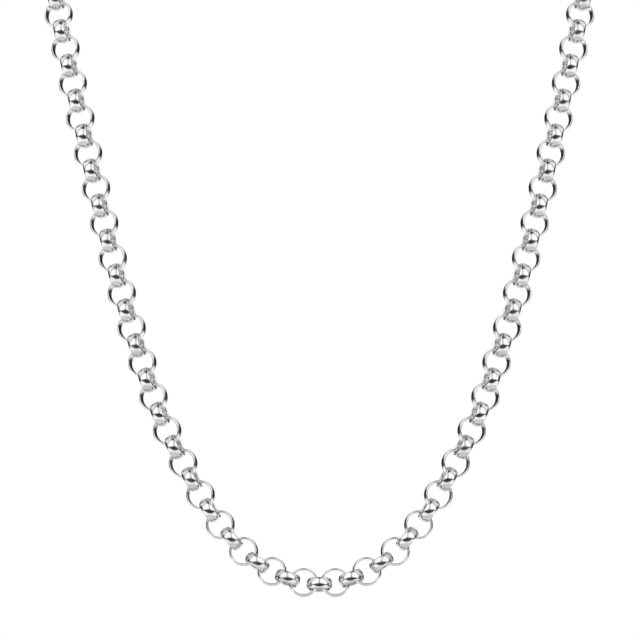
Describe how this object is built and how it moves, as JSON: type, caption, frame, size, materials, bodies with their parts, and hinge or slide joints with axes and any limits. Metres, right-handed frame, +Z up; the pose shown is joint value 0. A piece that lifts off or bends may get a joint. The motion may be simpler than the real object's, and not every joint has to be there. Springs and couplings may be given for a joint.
{
  "type": "rolo chain necklace",
  "caption": "Worn necklace of round half-round-band links, every second one turned a quarter, with two jump rings and a plain clasp at the nape.",
  "frame": {"origin": "where the inner side of the clasp lies on the nape of the wearer's neck", "axes": "+Z up, -Y to the front of the wearer, X across; the chain dips to its lowest link in front"},
  "size_m": [0.1032, 0.0877, 0.1413],
  "materials": {
    "chain_silver": "polished silver, mirror bright",
    "fitting_silver": "polished silver, drawn wire"
  },
  "bodies": {
    "root": {"chain": "chain_silver", "clasp_ring": "fitting_silver", "clasp": "fitting_silver", "end_ring": "fitting_silver"}
  },
  "joints": []
}
